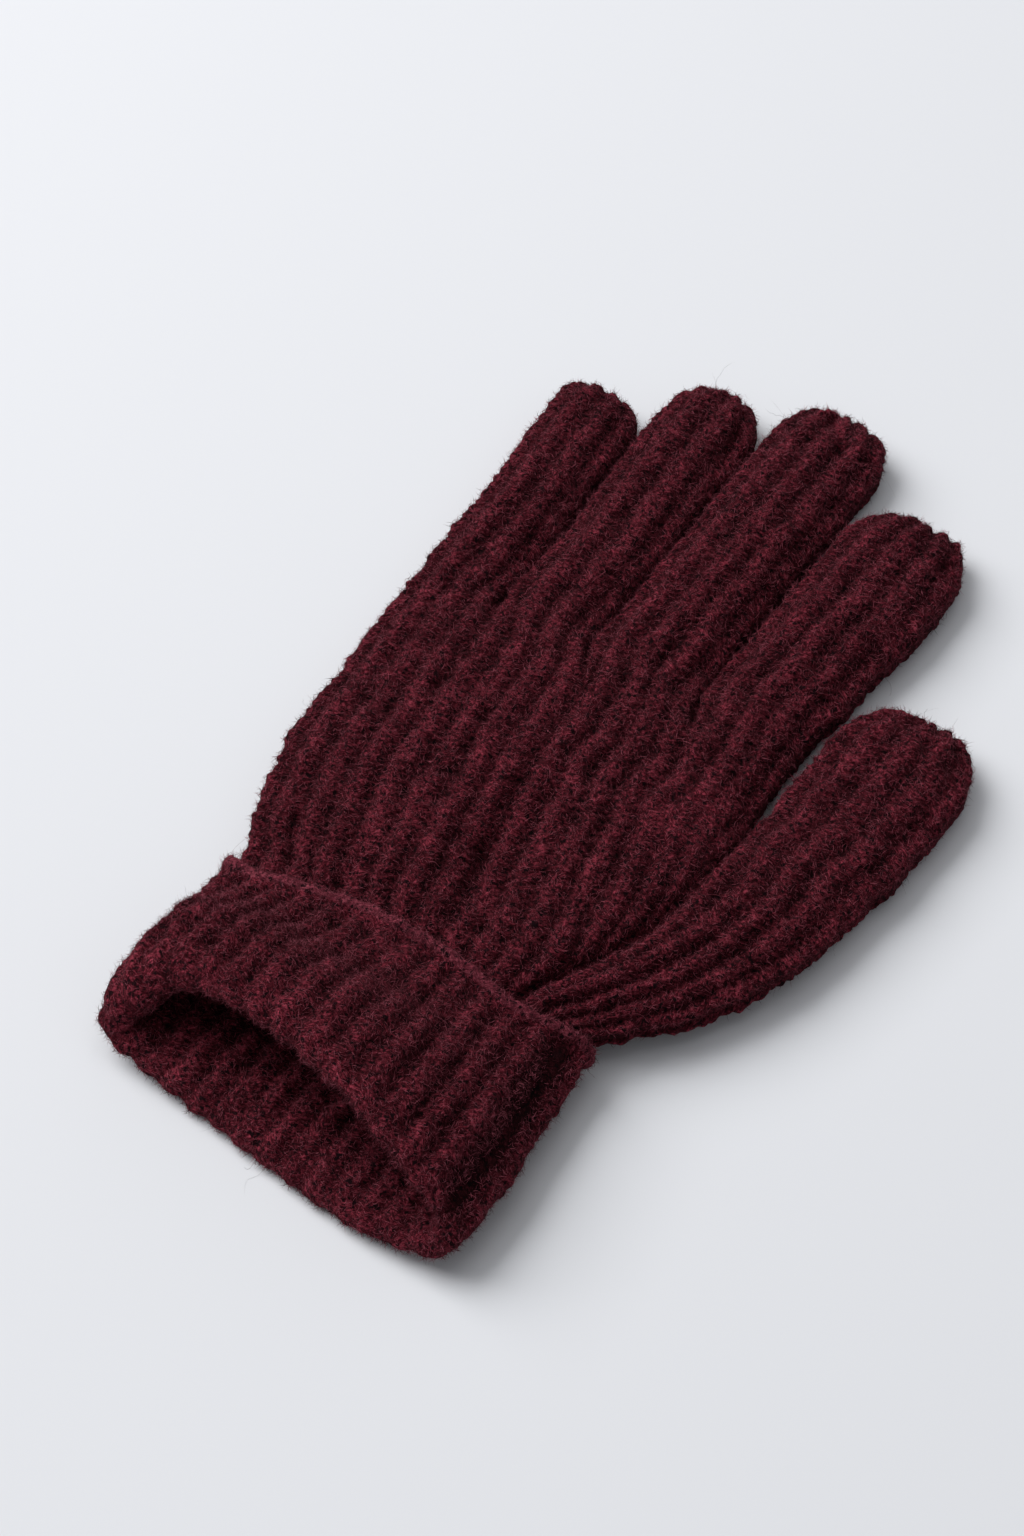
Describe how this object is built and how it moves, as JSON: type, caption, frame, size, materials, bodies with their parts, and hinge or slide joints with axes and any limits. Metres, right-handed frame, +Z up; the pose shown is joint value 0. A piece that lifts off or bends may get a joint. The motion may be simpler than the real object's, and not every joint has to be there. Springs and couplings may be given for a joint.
{
  "type": "knitted glove",
  "caption": "Rib-knitted five-finger glove lying flat and empty, with a turned-up cuff and an open mouth.",
  "frame": {"origin": "on the flat underside of the hand, on the surface that the glove lies on, 50 mm from the wrist line towards the fingertips and in the middle of the wrist", "axes": "+X towards the thumb, +Y from the wrist to the fingertips, +Z up, out of the side that faces up"},
  "size_m": [0.1381, 0.2363, 0.0288],
  "materials": {
    "hand_rib_knit": "heathered burgundy brushed wool-blend yarn, all-over rib knit",
    "finger_rib_knit": "heathered burgundy brushed wool-blend yarn, rib-knitted finger tube",
    "cuff_rib_knit": "heathered burgundy brushed wool-blend yarn, wide rib, doubled",
    "cast_on_yarn": "cast-on edge stitches of the same yarn, slightly paler",
    "seam_yarn": "side seam stitches of the same yarn, lying deep",
    "closing_yarn": "gathered closing stitches of the same yarn"
  },
  "bodies": {
    "hand": {"hand_palm_side": "hand_rib_knit", "hand_back_side": "hand_rib_knit", "thumb_gusset_palm_side": "hand_rib_knit", "thumb_gusset_back_side": "hand_rib_knit"},
    "cuff": {"cuff_inner_palm_side": "cuff_rib_knit", "cuff_inner_back_side": "cuff_rib_knit", "cuff_turn_up_palm_side": "cuff_rib_knit", "cuff_turn_up_back_side": "cuff_rib_knit", "cuff_side_seam": "seam_yarn", "cuff_cast_on_edge": "cast_on_yarn", "cuff_fold": "cuff_rib_knit"},
    "little_proximal_length": {"little_proximal": "finger_rib_knit"},
    "little_middle_length": {"little_middle": "finger_rib_knit"},
    "little_tip_length": {"little_tip": "finger_rib_knit", "little_closing_stitches": "closing_yarn"},
    "ring_proximal_length": {"ring_proximal": "finger_rib_knit"},
    "ring_middle_length": {"ring_middle": "finger_rib_knit"},
    "ring_tip_length": {"ring_tip": "finger_rib_knit", "ring_closing_stitches": "closing_yarn"},
    "middle_proximal_length": {"middle_proximal": "finger_rib_knit"},
    "middle_middle_length": {"middle_middle": "finger_rib_knit"},
    "middle_tip_length": {"middle_tip": "finger_rib_knit", "middle_closing_stitches": "closing_yarn"},
    "index_proximal_length": {"index_proximal": "finger_rib_knit"},
    "index_middle_length": {"index_middle": "finger_rib_knit"},
    "index_tip_length": {"index_tip": "finger_rib_knit", "index_closing_stitches": "closing_yarn"},
    "thumb_lower_length": {"thumb_lower": "finger_rib_knit"},
    "thumb_tip_length": {"thumb_tip": "finger_rib_knit", "thumb_closing_stitches": "closing_yarn"}
  },
  "joints": [
    {"name": "wrist_fold", "type": "hinge", "parent": "hand", "child": "cuff", "pos_m": [0, -0.05, 0.014], "axis": [-1, 0, 0], "range_deg": [0, 60]},
    {"name": "little_knuckle_curl", "type": "hinge", "parent": "hand", "child": "little_proximal_length", "pos_m": [-0.0472, 0.054, 0.01038], "axis": [1, 0, 0], "range_deg": [0, 80]},
    {"name": "little_middle_curl", "type": "hinge", "parent": "little_proximal_length", "child": "little_middle_length", "pos_m": [-0.0487, 0.074, 0.00981], "axis": [1, 0, 0], "range_deg": [0, 80]},
    {"name": "little_tip_curl", "type": "hinge", "parent": "little_middle_length", "child": "little_tip_length", "pos_m": [-0.0504, 0.09, 0.00934], "axis": [1, 0, 0], "range_deg": [0, 48]},
    {"name": "ring_knuckle_curl", "type": "hinge", "parent": "hand", "child": "ring_proximal_length", "pos_m": [-0.0246, 0.056, 0.0106], "axis": [1, 0, 0], "range_deg": [0, 80]},
    {"name": "ring_middle_curl", "type": "hinge", "parent": "ring_proximal_length", "child": "ring_middle_length", "pos_m": [-0.0258, 0.08, 0.01008], "axis": [1, 0, 0], "range_deg": [0, 80]},
    {"name": "ring_tip_curl", "type": "hinge", "parent": "ring_middle_length", "child": "ring_tip_length", "pos_m": [-0.0268, 0.101, 0.00951], "axis": [1, 0, 0], "range_deg": [0, 48]},
    {"name": "middle_knuckle_curl", "type": "hinge", "parent": "hand", "child": "middle_proximal_length", "pos_m": [0.0004, 0.058, 0.01084], "axis": [1, 0, 0], "range_deg": [0, 80]},
    {"name": "middle_middle_curl", "type": "hinge", "parent": "middle_proximal_length", "child": "middle_middle_length", "pos_m": [0, 0.086, 0.01038], "axis": [1, 0, 0], "range_deg": [0, 80]},
    {"name": "middle_tip_curl", "type": "hinge", "parent": "middle_middle_length", "child": "middle_tip_length", "pos_m": [-0.0002, 0.108, 0.00986], "axis": [1, 0, 0], "range_deg": [0, 48]},
    {"name": "index_knuckle_curl", "type": "hinge", "parent": "hand", "child": "index_proximal_length", "pos_m": [0.0282, 0.059, 0.01044], "axis": [1, 0, 0], "range_deg": [0, 80]},
    {"name": "index_middle_curl", "type": "hinge", "parent": "index_proximal_length", "child": "index_middle_length", "pos_m": [0.0305, 0.08, 0.00987], "axis": [1, 0, 0], "range_deg": [0, 80]},
    {"name": "index_tip_curl", "type": "hinge", "parent": "index_middle_length", "child": "index_tip_length", "pos_m": [0.0303, 0.097, 0.00931], "axis": [1, 0, 0], "range_deg": [0, 48]},
    {"name": "thumb_base_curl", "type": "hinge", "parent": "hand", "child": "thumb_lower_length", "pos_m": [0.0586, 0.023, 0.0104], "axis": [1, 0, 0], "range_deg": [0, 60]},
    {"name": "thumb_tip_curl", "type": "hinge", "parent": "thumb_lower_length", "child": "thumb_tip_length", "pos_m": [0.0598, 0.044, 0.00978], "axis": [1, 0, 0], "range_deg": [0, 75]}
  ],
  "couplings": [
    {"joint": "little_tip_curl", "follows": "little_middle_curl", "ratio": 0.6},
    {"joint": "ring_tip_curl", "follows": "ring_middle_curl", "ratio": 0.6},
    {"joint": "middle_tip_curl", "follows": "middle_middle_curl", "ratio": 0.6},
    {"joint": "index_tip_curl", "follows": "index_middle_curl", "ratio": 0.6}
  ]
}
